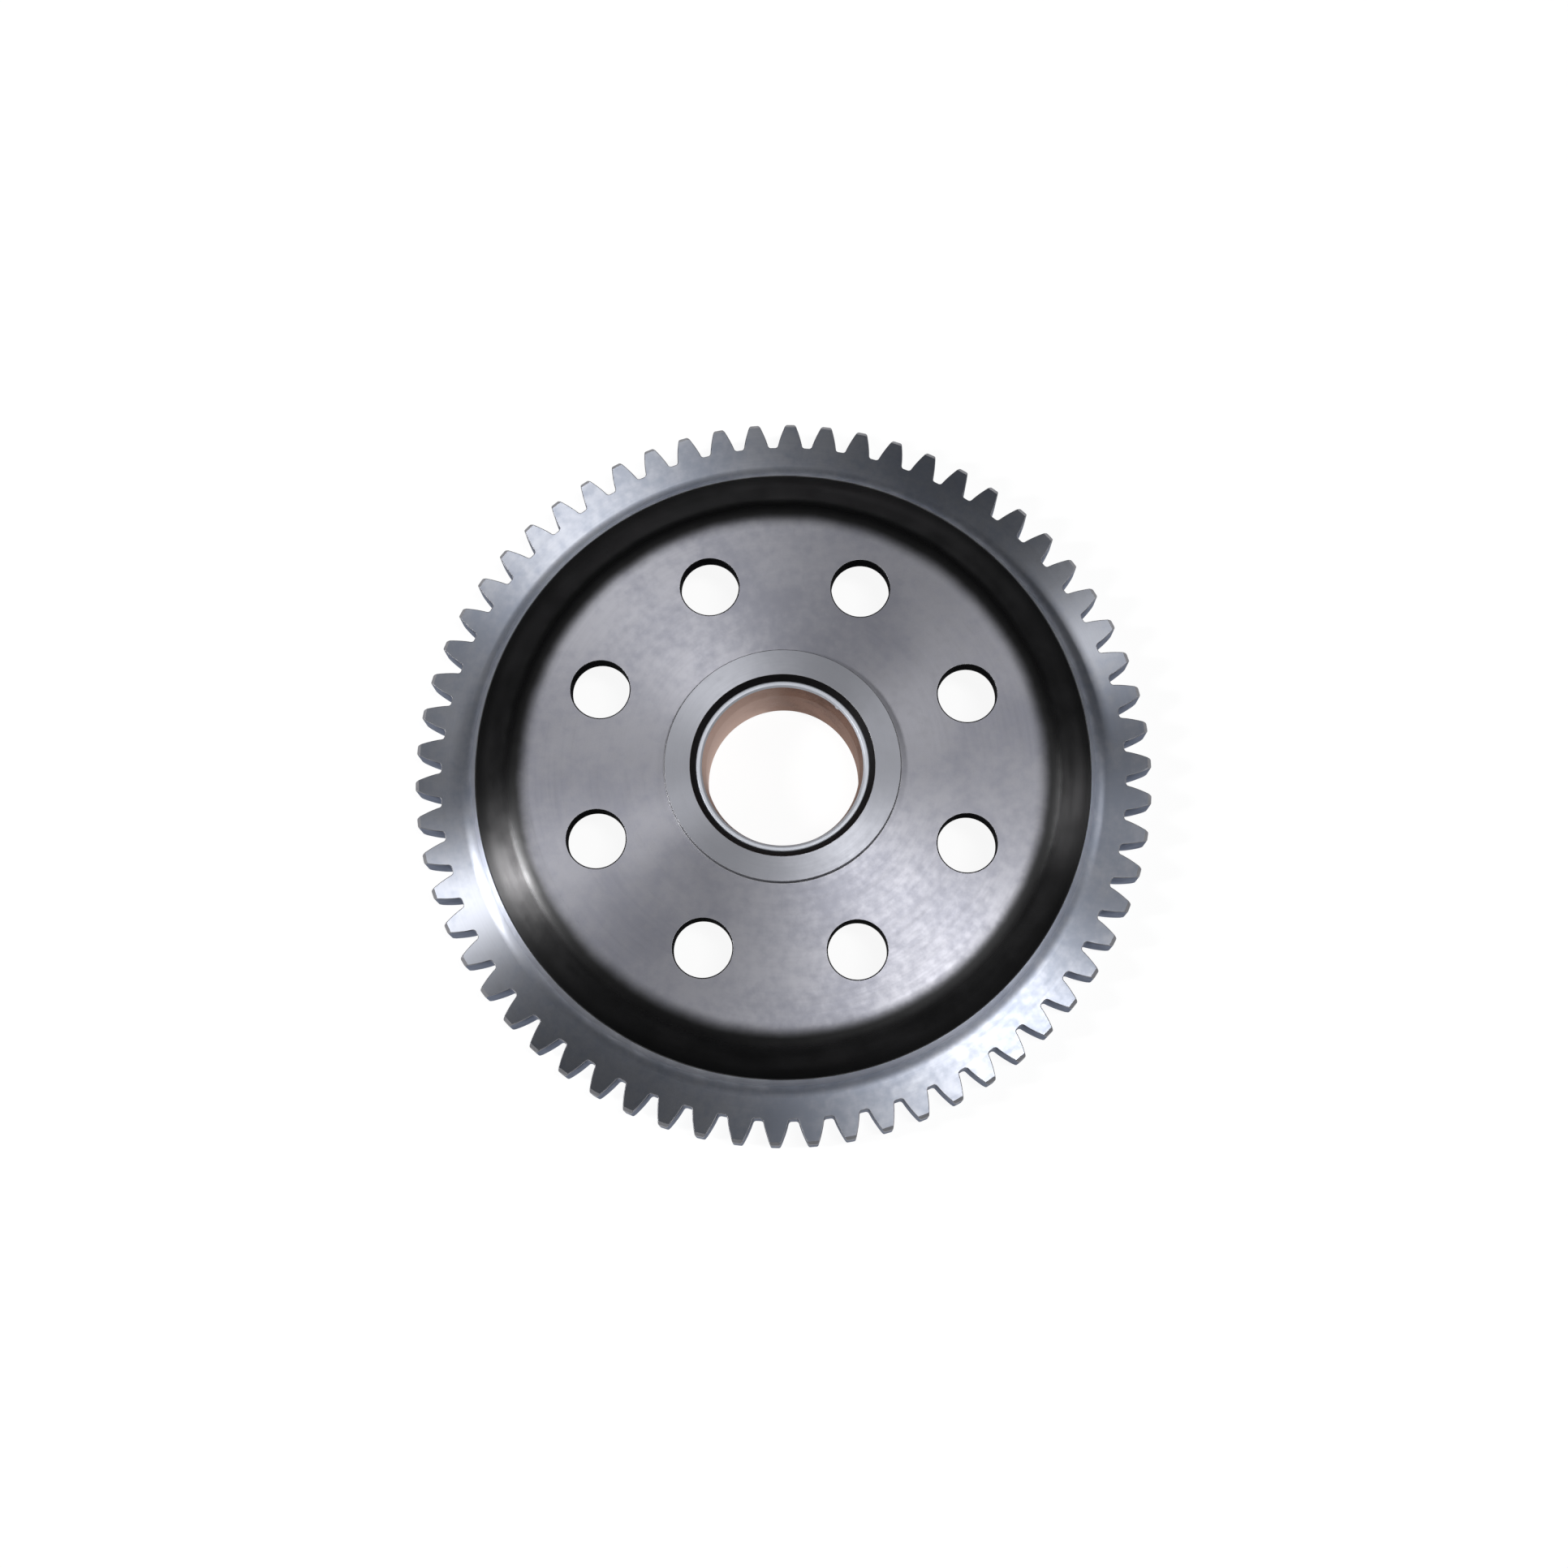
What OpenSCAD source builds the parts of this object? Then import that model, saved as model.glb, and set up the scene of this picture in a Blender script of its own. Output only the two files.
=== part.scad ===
// Driven gear of a starter train: a toothed ring on a raised, dished web, with the
// race of a one-way clutch on its back and a plain bush pressed into its bore.
// Z runs along the axis. The gear rests on the end of the race, at z = 0, and its
// front, with the raised web, faces up.

/* [Teeth] */
// Number of teeth
teeth_n = 62; // [56:1:72]
// Module: the pitch diameter divided by the number of teeth
tooth_module = 2; // [1.9:0.05:2.3]
// Pressure angle of the involute flanks, in degrees
pressure_angle = 20; // [18:0.5:25]
// Height of the teeth above the pitch circle
addendum = 2; // [1.6:0.05:2.2]
// Depth of the tooth spaces below the pitch circle
dedendum = 2.5; // [2.1:0.05:2.7]
// Fillet between a flank and the bottom of the tooth space
root_fillet = 0.8; // [0.3:0.05:1]
// Width of the teeth, along the axis
face_w = 7; // [5:0.1:8]
// Chamfer turned on the blank at both ends of the teeth
tip_chamfer = 0.6; // [0.2:0.05:1]
// Turn of the first tooth against the web holes, in degrees
tooth_turn = 2.48; // [0:0.01:5.8]

/* [Rim] */
// Flat of the front face between the tooth roots and the step
rim_flat = 4.9; // [3:0.1:7]
// Height of the step inside that flat
step_h = 3.5; // [1:0.1:5]
// Slope of the step: how far it leans inwards over its height
step_lean = 1.5; // [0.5:0.1:3]
// Wall between the top of the step and the cavity behind it
rim_wall = 3.1; // [2:0.1:5]
// Chamfer on the inner edge of the rim's back
rim_chamfer = 0.6; // [0.2:0.1:1.2]

/* [Web] */
// Height of the web's front above the rim's front
web_rise = 7.4; // [6.5:0.1:9]
// Thickness of the web and of the cone that carries it
web_t = 3.7; // [3:0.1:4.5]
// Radial width of the cone between the step and the web
cone_w = 7.1; // [5:0.1:9]
// Rounding where the cone runs into the web's front
shoulder_r = 9; // [4:0.5:12]
// Rounding in the cavity, where the cone runs into the web's back
cavity_r = 4; // [2:0.5:6]

/* [Web holes] */
// Number of holes
hole_n = 8; // [3:1:10]
// Diameter of the holes
hole_d = 10; // [5:0.1:12]
// Diameter of the circle through their centres
hole_pcd = 68.2; // [66:0.1:71]
// Chamfer on both ends of each hole
hole_chamfer = 0.5; // [0.2:0.05:1]

/* [Hub and race] */
// Diameter of the raised thrust face on the front
thrust_d = 40.4; // [36:0.1:46]
// Height of the thrust face above the web
thrust_rise = 1.1; // [0.4:0.1:2]
// Edge chamfer of the thrust face
thrust_chamfer = 0.2; // [0.1:0.05:0.3]
// Diameter of the clutch race on the back
race_d = 45; // [40:0.1:48]
// Distance from the rim's front to the end of the race
race_drop = 8.9; // [8.2:0.1:14]
// Chamfer on the end of the race
race_chamfer = 1; // [0.3:0.1:2]
// Fillet between the race and the web
race_fillet = 1.5; // [0.5:0.1:2.5]
// Chamfer of the bore at the thrust face
mouth_chamfer = 1; // [0.4:0.05:1.5]
// Chamfer of the bore at the end of the race
tail_chamfer = 0.5; // [0.3:0.05:1]

/* [Bush] */
// Outer diameter of the bush, which the bore grips
bush_d = 29.7; // [28:0.1:32]
// Wall of the bush: steel back and bronze lining together
bush_wall = 1.65; // [1.2:0.05:2.5]
// Flat left on the front end of the bush outside its bevel
bush_land = 0.25; // [0.1:0.05:0.5]
// Bevel inside the back end of the bush
bush_tail_bevel = 0.5; // [0.2:0.05:0.8]

/* [Hidden] */
$fn = 144;
eps = 0.01;

// The teeth follow from the module
pitch_r = teeth_n * tooth_module / 2;
tip_r = pitch_r + addendum;
root_r = pitch_r - dedendum;
base_r = pitch_r * cos(pressure_angle);
half_pitch = 180 / teeth_n;
// Half the angle of a tooth at its base circle
base_half = half_pitch / 2 + inv(pressure_angle);
// Points along each flank, and along each fillet
flank_steps = 6;
fillet_steps = 4;
// Largest fillet that fits between two flanks, and the one that is cut
fillet_r = min(root_fillet, largest_fillet(0.05, 2, 12));

// Heights above the end of the race
rim_z = race_drop;
rim_back_z = rim_z - face_w;
step_z = rim_z + step_h;
web_z = rim_z + web_rise;
web_back_z = web_z - web_t;
thrust_z = web_z + thrust_rise;
bush_top_z = thrust_z - mouth_chamfer;

// Radii of the blank, from the rim inwards
step_foot_r = root_r - rim_flat;
step_top_r = step_foot_r - step_lean;
web_r = step_top_r - cone_w;
cavity_outer_r = step_top_r - rim_wall;
thrust_r = thrust_d / 2;
race_r = race_d / 2;
hole_r = hole_d / 2;
bush_r = bush_d / 2;
bush_bore_r = bush_r - bush_wall;

// The cone's slope, and its inner line, one web thickness below the outer one
cone_slope = atan2(web_z - step_z, cone_w);
web_back_r = web_r - web_t * tan(cone_slope / 2);
cavity_top_z = web_back_z - (cavity_outer_r - web_back_r) * tan(cone_slope);

// Involute function: the angle that the curve gains at pressure angle a
function inv(a) = tan(a) * 180 / PI - a;

function polar(r, a) = [r * cos(a), r * sin(a)];

// Angle between a tooth's centre line and its flank at radius r
function flank_half(r) = base_half - inv(acos(base_r / r));

// Angle between a tooth's centre line and the centre of a root fillet of radius f.
// That centre lies on the involute parallel to the flank, f further out.
function fillet_half(f) =
    base_half + f / base_r * 180 / PI - inv(acos(base_r / (root_r + f)));

function largest_fillet(low, high, steps) =
    steps == 0 ? low
    : let (mid = (low + high) / 2)
      fillet_half(mid) < half_pitch
        ? largest_fillet(mid, high, steps - 1)
        : largest_fillet(low, mid, steps - 1);

// Points of an arc about c, from angle a to angle b
function arc(c, r, a, b, steps) =
    [for (i = [0 : steps]) c + polar(r, a + (b - a) * i / steps)];

// Points that round the corner between the rays from p to a and from p to b
function rounded(a, p, b, r, steps) =
    let (u = (a - p) / norm(a - p),
         v = (b - p) / norm(b - p),
         half = acos(u * v) / 2,
         c = p + (u + v) / norm(u + v) * r / sin(half),
         start = p + u * r / tan(half) - c,
         end = p + v * r / tan(half) - c,
         a0 = atan2(start[1], start[0]),
         turn = atan2(end[1], end[0]) - a0,
         sweep = turn > 180 ? turn - 360 : turn < -180 ? turn + 360 : turn)
    arc(c, r, a0, a0 + sweep, steps);

// One side of a tooth space, from outside the tips down to its bottom. The space is
// centred on angle 0, so the tooth beside it is centred on half_pitch.
function space_side() =
    let (c_r = root_r + fillet_r,
         string = sqrt(c_r * c_r - base_r * base_r) - fillet_r,
         flank_r = sqrt(base_r * base_r + string * string),
         centre = polar(c_r, half_pitch - fillet_half(fillet_r)),
         touch = polar(flank_r, half_pitch - flank_half(flank_r)) - centre,
         bottom = half_pitch - fillet_half(fillet_r) + 180,
         a0 = atan2(touch[1], touch[0]),
         out_r = tip_r + 0.3)
    concat(
        [polar(tip_r + 1, half_pitch - flank_half(out_r))],
        [for (i = [0 : flank_steps - 1])
            let (r = out_r + (flank_r - out_r) * i / flank_steps)
            polar(r, half_pitch - flank_half(r))],
        arc(centre, fillet_r, a0, bottom, fillet_steps)
    );

module tooth_space() {
    side = space_side();
    n = len(side);
    other = [for (i = [n - 1 : -1 : 0]) [side[i][0], -side[i][1]]];
    translate([0, 0, rim_back_z - 1])
        linear_extrude(face_w + 2)
            polygon(concat(side, other));
}

// Turned blank of the gear, with the bore and the cavity behind the web
module blank() {
    shoulder = rounded([step_top_r, step_z], [web_r, web_z], [0, web_z], shoulder_r, 10);
    pocket = rounded([0, web_back_z], [web_back_r, web_back_z],
                     [cavity_outer_r, cavity_top_z], cavity_r, 6);
    corner = rounded([race_r, 0], [race_r, web_back_z], [web_r, web_back_z], race_fillet, 5);
    rotate_extrude()
        polygon(concat(
            [
                [bush_r, tail_chamfer],
                [bush_r + tail_chamfer, 0],
                [race_r - race_chamfer, 0],
                [race_r, race_chamfer]
            ],
            corner,
            pocket,
            [
                [cavity_outer_r, cavity_top_z],
                [cavity_outer_r, rim_back_z + rim_chamfer],
                [cavity_outer_r + rim_chamfer, rim_back_z],
                [tip_r - tip_chamfer, rim_back_z],
                [tip_r, rim_back_z + tip_chamfer],
                [tip_r, rim_z - tip_chamfer],
                [tip_r - tip_chamfer, rim_z],
                [step_foot_r, rim_z],
                [step_top_r, step_z]
            ],
            shoulder,
            [
                [thrust_r, web_z],
                [thrust_r, thrust_z - thrust_chamfer],
                [thrust_r - thrust_chamfer, thrust_z],
                [bush_r + mouth_chamfer, thrust_z],
                [bush_r, bush_top_z]
            ]
        ));
}

module web_hole() {
    translate([0, 0, web_back_z - 1]) cylinder(h = web_t + 2, r = hole_r);
    translate([0, 0, web_z - hole_chamfer])
        cylinder(h = hole_chamfer + eps, r1 = hole_r, r2 = hole_r + hole_chamfer + eps);
    translate([0, 0, web_back_z - eps])
        cylinder(h = hole_chamfer + eps, r1 = hole_r + hole_chamfer + eps, r2 = hole_r);
}

// The gear is one piece: teeth, rim, cone, web, hub and race
module gear() {
    color("slategray")
        difference() {
            blank();
            for (i = [0 : teeth_n - 1])
                rotate(tooth_turn + (i + 0.5) * 2 * half_pitch) tooth_space();
            for (i = [0 : hole_n - 1])
                rotate((i + 0.5) * 360 / hole_n)
                    translate([hole_pcd / 2, 0, 0]) web_hole();
        }
}

// Steel-backed bronze bush, gripped by the bore from one mouth chamfer to the other
module bush() {
    color("peru")
        rotate_extrude()
            polygon([
                [bush_bore_r + bush_tail_bevel, tail_chamfer],
                [bush_r, tail_chamfer],
                [bush_r, bush_top_z],
                [bush_r - bush_land, bush_top_z],
                [bush_bore_r, bush_top_z - (bush_wall - bush_land)],
                [bush_bore_r, tail_chamfer + bush_tail_bevel]
            ]);
}

gear();
bush();
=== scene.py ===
"""Studio scene of a starter driven gear: its finished meshes and materials around the CAD frame."""

import logging
import math
from dataclasses import dataclass, field
from enum import Enum
from typing import Iterable, Sequence, Union

import bmesh
import bpy
from mathutils import Matrix, Vector


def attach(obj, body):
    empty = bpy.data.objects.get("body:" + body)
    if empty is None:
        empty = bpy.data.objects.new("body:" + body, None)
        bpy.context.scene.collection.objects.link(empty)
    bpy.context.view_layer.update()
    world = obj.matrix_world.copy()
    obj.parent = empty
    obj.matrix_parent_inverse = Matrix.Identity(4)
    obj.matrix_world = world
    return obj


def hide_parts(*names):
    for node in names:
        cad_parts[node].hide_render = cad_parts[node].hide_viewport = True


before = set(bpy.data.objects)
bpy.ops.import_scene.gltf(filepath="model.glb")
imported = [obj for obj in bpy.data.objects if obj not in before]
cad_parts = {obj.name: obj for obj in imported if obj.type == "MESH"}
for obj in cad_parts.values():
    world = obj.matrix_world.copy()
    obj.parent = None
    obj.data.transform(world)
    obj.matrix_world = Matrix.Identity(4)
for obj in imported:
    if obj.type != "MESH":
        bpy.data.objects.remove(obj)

LOG = logging.getLogger("starter_gear")
MM = 0.001
QUARTER_TURN = 0.25
# Drop in millimetres past which a point of the rim's edge lies on the chamfer of a tip
CHAMFERED = 1e-4
# Where new vertices cut the arc under the chamfer of a tip
CHORD_PARTS = (0.25, 0.5, 0.75)
# Digits of a millimetre that tell two places of a profile apart
PLACE_DIGITS = 5
Number = Union[float, "Value"]
Socket = bpy.types.NodeSocket


class Surface(Enum):
    """Machined or raw surface that a face of the gear or the bush belongs to."""

    RIM_FACE = "rim face"
    STEP = "step"
    WEB = "web and cone"
    THRUST = "thrust face"
    EDGE = "broken edge"
    HOLE = "hole wall"
    FLANK = "tooth flank"
    CAVITY = "cavity"
    RACE = "clutch race"
    BORE_SEAT = "bore seat"
    BUSH_STEEL = "bush steel"
    BUSH_BRONZE = "bush bronze"


class Value:
    """A number output of a shader node, with arithmetic that adds Math nodes."""

    def __init__(self, graph: "Graph", socket: Socket) -> None:
        """Keeps the socket and the graph that it belongs to."""
        self.graph = graph
        self.socket = socket

    def _math(self, operation: str, first: Number, second: Number) -> "Value":
        """Adds one Math node for an operation on two numbers."""
        node = self.graph.node("ShaderNodeMath", {"operation": operation}, {0: first, 1: second})
        return Value(self.graph, node.outputs[0])

    def __add__(self, other: Number) -> "Value":
        """Sum."""
        return self._math("ADD", self, other)

    __radd__ = __add__

    def __sub__(self, other: Number) -> "Value":
        """Difference."""
        return self._math("SUBTRACT", self, other)

    def __rsub__(self, other: Number) -> "Value":
        """Difference from a plain number."""
        return self._math("SUBTRACT", other, self)

    def __mul__(self, other: Number) -> "Value":
        """Product."""
        return self._math("MULTIPLY", self, other)

    __rmul__ = __mul__

    def __truediv__(self, other: Number) -> "Value":
        """Quotient."""
        return self._math("DIVIDE", self, other)


class Graph:
    """Node tree of one material or of the world, with short ways to add its nodes."""

    def __init__(self, owner: Union[bpy.types.Material, bpy.types.World]) -> None:
        """Clears the owner's node tree and keeps it.

        Args:
            owner: Material or world whose nodes are built.
        """
        owner.use_nodes = True
        self.tree = owner.node_tree
        self.tree.nodes.clear()

    def node(
        self,
        kind: str,
        settings: Union[dict, None] = None,
        inputs: Union[dict, None] = None,
    ) -> bpy.types.Node:
        """Adds a node, sets its options and fills its sockets.

        Args:
            kind: Blender's name of the node type.
            settings: Attributes of the node, set first.
            inputs: Socket name or number to a value, a socket or a Value.

        Returns:
            The new node.
        """
        new = self.tree.nodes.new(kind)
        for name, value in (settings or {}).items():
            setattr(new, name, value)
        for name, value in (inputs or {}).items():
            self._fill_socket(new.inputs[name], value)
        return new

    def _fill_socket(self, socket: Socket, value: object) -> None:
        """Links a socket to a Value or another socket, or sets its default."""
        if isinstance(value, Value):
            self.tree.links.new(value.socket, socket)
        elif isinstance(value, Socket):
            self.tree.links.new(value, socket)
        else:
            socket.default_value = value

    def vector(self, operation: str, inputs: dict) -> bpy.types.Node:
        """Adds one Vector Math node."""
        return self.node("ShaderNodeVectorMath", {"operation": operation}, inputs)

    def object_mm(self) -> Socket:
        """Object coordinates in millimetres."""
        place = self.node("ShaderNodeTexCoord").outputs["Object"]
        return self.vector("SCALE", {0: place, "Scale": 1 / MM}).outputs[0]

    def parts(self, vector: Socket) -> tuple:
        """The three numbers of a vector, as Values."""
        split = self.node("ShaderNodeSeparateXYZ", None, {0: vector})
        return tuple(Value(self, output) for output in split.outputs)

    def radius(self, vector: Socket) -> Value:
        """Distance from the gear's axis."""
        flat = self.vector("MULTIPLY", {0: vector, 1: (1.0, 1.0, 0.0)}).outputs[0]
        return Value(self, self.vector("LENGTH", {0: flat}).outputs["Value"])

    def around(
        self, vector: Socket, along: float, across: float, deep: float = 0.0
    ) -> Socket:
        """Coordinates that run in rings about the axis, with no seam.

        Args:
            vector: Object coordinates in millimetres.
            along: Detail around one turn: larger gives shorter streaks.
            across: Detail per millimetre of radius.
            deep: Detail per millimetre of height.

        Returns:
            The coordinates as a vector socket.
        """
        x, y, z = self.parts(vector)
        r = self.radius(vector)
        places = {0: x / r * along, 1: y / r * along, 2: r * across + z * deep}
        return self.node("ShaderNodeCombineXYZ", None, places).outputs[0]

    def noise(
        self, vector: Socket, scale: float, detail: float = 3.0, roughness: float = 0.5
    ) -> Value:
        """Cloudy noise from 0 to 1."""
        inputs = {"Vector": vector, "Scale": scale, "Detail": detail, "Roughness": roughness}
        return Value(self, self.node("ShaderNodeTexNoise", None, inputs).outputs["Fac"])

    def ramp(self, value: Number, low: float, high: float) -> Value:
        """Rises smoothly from 0 at low to 1 at high."""
        inputs = {"Value": value, "From Min": low, "From Max": high}
        node = self.node("ShaderNodeMapRange", {"interpolation_type": "SMOOTHSTEP"}, inputs)
        return Value(self, node.outputs["Result"])

    def spot(self, vector: Socket, centre: tuple, reach: float) -> Value:
        """One inside a ragged spot, 0 outside it.

        Args:
            vector: Object coordinates in millimetres.
            centre: Middle of the spot.
            reach: Its radius in millimetres.

        Returns:
            The mask.
        """
        apart = Value(self, self.vector("DISTANCE", {0: vector, 1: centre}).outputs["Value"])
        ragged = self.noise(vector, 3.0, 2.0) - 0.5
        return 1.0 - self.ramp(apart + ragged * reach, reach * 0.6, reach)

    def background_ray(self) -> Value:
        """One for rays that show the background: from the camera, off metal or through glass."""
        path = self.node("ShaderNodeLightPath")
        camera, glossy, through = (
            Value(self, path.outputs[f"Is {kind} Ray"])
            for kind in ("Camera", "Glossy", "Transmission")
        )
        return camera + glossy + through

    def mix(
        self, factor: Number, first: Union[tuple, Socket], second: Union[tuple, Socket]
    ) -> Socket:
        """Mixes two colours, given as three numbers or as sockets."""
        colours = [(*c, 1.0) if isinstance(c, tuple) else c for c in (first, second)]
        inputs = {0: factor, 6: colours[0], 7: colours[1]}
        return self.node("ShaderNodeMix", {"data_type": "RGBA"}, inputs).outputs[2]

    def bump(self, height: Number, depth_mm: float) -> Socket:
        """Normal that follows a height from 0 to 1, depth_mm deep."""
        inputs = {"Strength": 1.0, "Distance": depth_mm * MM, "Height": height}
        return self.node("ShaderNodeBump", None, inputs).outputs[0]

    def output(self, shader: Socket, kind: str = "ShaderNodeOutputMaterial") -> None:
        """Ends the tree with its output node."""
        self.node(kind, None, {"Surface": shader})


@dataclass(frozen=True)
class Finish:
    """Finish of a surface of the gear or the bush.

    Attributes:
        name: Name of the material.
    """

    name: str

    def material(self) -> bpy.types.Material:
        """Builds the material.

        Returns:
            The new material.
        """
        material = bpy.data.materials.new(self.name)
        graph = Graph(material)
        look = self.look(graph, graph.object_mm())
        graph.output(graph.node("ShaderNodeBsdfPrincipled", None, look).outputs[0])
        return material

    def look(self, graph: Graph, place: Socket) -> dict:
        """Shader inputs by name, from object coordinates in millimetres."""
        raise NotImplementedError


@dataclass(frozen=True)
class TurnedSteel(Finish):
    """Steel cut on a lathe or a grinder, with its rings of tool marks.

    Attributes:
        colour: Colour of the clean metal.
        stain: Colour of the darker clouds.
        stain_amount: How far the clouds reach towards that colour.
        roughness: Lowest and highest roughness.
        anisotropy: How much the tool marks stretch a highlight across them.
        ring_mm: Depth of the tool marks.
        ring_density: Tool marks per millimetre of radius.
        scratches: Strength of the fine handling scratches.
        metallic: Share of bare metal: lower under a dull film.
        glance_shade: Colour of what it mirrors at a glancing angle: below white it is a painted
            shade that dims the glancing reflections.
        scratch_ways: Turn in radians and length of each set of scratches.
        streak_amount: How far the dull streaks along the tool marks show.
        streak_shade: Share of the clean colour that is left in them.
    """

    colour: tuple
    stain: tuple
    stain_amount: float
    roughness: tuple
    anisotropy: float
    ring_mm: float
    ring_density: float
    scratches: float
    metallic: float = 1.0
    glance_shade: tuple = (1.0, 1.0, 1.0)
    scratch_ways: tuple = ((0.5, 9.0), (2.1, 7.0))
    streak_amount: float = 0.14
    streak_shade: float = 0.72

    def look(self, graph: Graph, place: Socket) -> dict:
        """Shader inputs by name: clouds, tool marks, grain and scratches."""
        clouds = graph.noise(place, 0.055, 4.0, 0.6)
        mottle = graph.noise(place, 0.6, 3.0, 0.55)
        marks = graph.around(place, 2.2, self.ring_density, self.ring_density)
        rings = graph.noise(marks, 1.0, 2.0)
        grain = graph.noise(place, 7.0, 2.0)
        stain = graph.ramp(clouds * 0.65 + mottle * 0.35, 0.38, 0.66) * self.stain_amount
        stained = graph.mix(stain, self.colour, self.stain)
        streak = graph.ramp(rings, 0.35, 0.7) * self.streak_amount
        dull = tuple(self.streak_shade * c for c in self.colour)
        low, high = self.roughness
        wear = mottle * 0.45 + rings * 0.35 + grain * 0.2
        roughness = graph.ramp(wear, 0.25, 0.75) * (high - low) + low
        scratch = self._scratches(graph, place) * self.scratches
        return {
            # A tint below white here is painted shade over the glancing reflections
            "Specular Tint": (*self.glance_shade, 1.0),
            "Anisotropic": self.anisotropy,
            "Anisotropic Rotation": QUARTER_TURN,
            "Normal": graph.bump(rings * 0.75 + grain * 0.25 - scratch, self.ring_mm),
            **self.skin(graph, place, graph.mix(streak, stained, dull), roughness),
        }

    def skin(self, graph: Graph, place: Socket, colour: Socket, roughness: Value) -> dict:
        """Shader inputs of the surface, as they are on plain turned steel."""
        return {"Base Color": colour, "Roughness": roughness, "Metallic": self.metallic}

    def _scratches(self, graph: Graph, place: Socket) -> Value:
        """Thin straight scratches in two directions, from stretched noise."""
        total: Number = 0.0
        for turn, length in self.scratch_ways:
            turned = {
                "Vector": place,
                "Rotation": (0.0, 0.0, turn),
                "Scale": (1.0 / length, 2.4, 1.0),
            }
            lines = graph.noise(graph.node("ShaderNodeMapping", None, turned).outputs[0], 1.0, 1.0)
            gate = graph.ramp(graph.noise(place, 0.12 + turn / 40, 2.0), 0.55, 0.7)
            total = graph.ramp(lines, 0.7, 0.76) * gate + total
        return total


@dataclass(frozen=True)
class DarkenedSteel(TurnedSteel):
    """Turned web that runs out into the black cone around it, whose black is painted shade for the
    dark surroundings that the glossy cone mirrors.

    Attributes:
        shade_black: Colour of the cone, painted shade for the dark surroundings it mirrors, darkest
            at the shoulder where it hides the key lamp's highlight.
        paler_tone: Colour of the paler, patchy band of the painted black further out on the cone.
        gloss: Roughness of the painted black.
        fade_r: Radii in millimetres between which the painted black takes over.
        gloss_r: Radii in millimetres between which its gloss takes over.
        paler_band_r: Radii in millimetres where the paler band begins, is full, fades and ends.
        off_centre: How far the edge of the painted black lies off the axis, in millimetres, so that
            the painted shade reaches further in on one side.
        wobble: How far the edges of the painted black and its gloss wander, in millimetres.
    """

    shade_black: tuple = (0.042, 0.042, 0.043)
    paler_tone: tuple = (0.150, 0.148, 0.151)
    gloss: float = 0.24
    fade_r: tuple = (42.9, 46.0)
    gloss_r: tuple = (45.4, 48.0)
    paler_band_r: tuple = (46.6, 48.6, 50.6, 52.6)
    off_centre: tuple = (0.1, -0.75, 0.0)
    wobble: float = 0.9

    def skin(self, graph: Graph, place: Socket, colour: Socket, roughness: Value) -> dict:
        """Blends the steel into the glossy black of the cone, which is painted shade.

        Args:
            graph: Node tree of the material.
            place: Object coordinates in millimetres.
            colour: Colour of the turned steel.
            roughness: Roughness of the turned steel.

        Returns:
            Shader inputs by name.
        """
        patches = graph.noise(place, 0.16, 4.0, 0.6)
        streaks = graph.noise(graph.around(place, 3.0, 0.5), 1.0, 3.0)
        wobble = (patches - 0.5) * self.wobble
        true_r = graph.radius(place) + wobble
        # Painted shade of the cone: black, with a paler patchy band further out
        faded = graph.ramp(true_r, *self.paler_band_r[2:]) * 0.7
        band = graph.ramp(true_r, *self.paler_band_r[:2]) * (1.0 - faded)
        paler = band * (graph.ramp(patches * 0.6 + streaks * 0.4, 0.3, 0.7) * 0.7 + 0.2)
        shade_black = graph.mix(paler, self.shade_black, self.paler_tone)
        # Edge of the painted shade, measured from a point off the axis
        shifted = graph.vector("SUBTRACT", {0: place, 1: self.off_centre}).outputs[0]
        r = graph.radius(shifted) + wobble
        fade = graph.ramp(r, *self.fade_r)
        gloss = graph.ramp(r, *self.gloss_r)
        return {
            "Base Color": graph.mix(fade, colour, shade_black),
            "Roughness": roughness + (self.gloss - roughness) * gloss,
            "Metallic": fade * (1 - self.metallic) + self.metallic,
        }


@dataclass(frozen=True)
class ForgedSkin(Finish):
    """Dark scale of the forging, left where no tool has cut.

    Attributes:
        colour: Colour of the dark skin.
        paler_tone: Colour where handling has brightened it.
        roughness: Lowest and highest roughness.
        metallic: Share of bare metal.
        grain_mm: Depth of its grain.
    """

    colour: tuple
    paler_tone: tuple
    roughness: tuple
    metallic: float
    grain_mm: float = 0.02

    def look(self, graph: Graph, place: Socket) -> dict:
        """Shader inputs by name: clouds and two sizes of grain."""
        clouds = graph.noise(place, 0.09, 4.0, 0.6)
        grain = graph.noise(place, 2.6, 4.0, 0.62)
        fine = graph.noise(place, 9.0, 2.0)
        paler_tone = graph.ramp(clouds * 0.6 + grain * 0.4, 0.42, 0.72)
        low, high = self.roughness
        return {
            "Base Color": graph.mix(paler_tone, self.colour, self.paler_tone),
            "Metallic": self.metallic,
            "Roughness": graph.ramp(grain, 0.3, 0.7) * (high - low) + low,
            "Normal": graph.bump(grain * 0.7 + fine * 0.3, self.grain_mm),
        }


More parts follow.
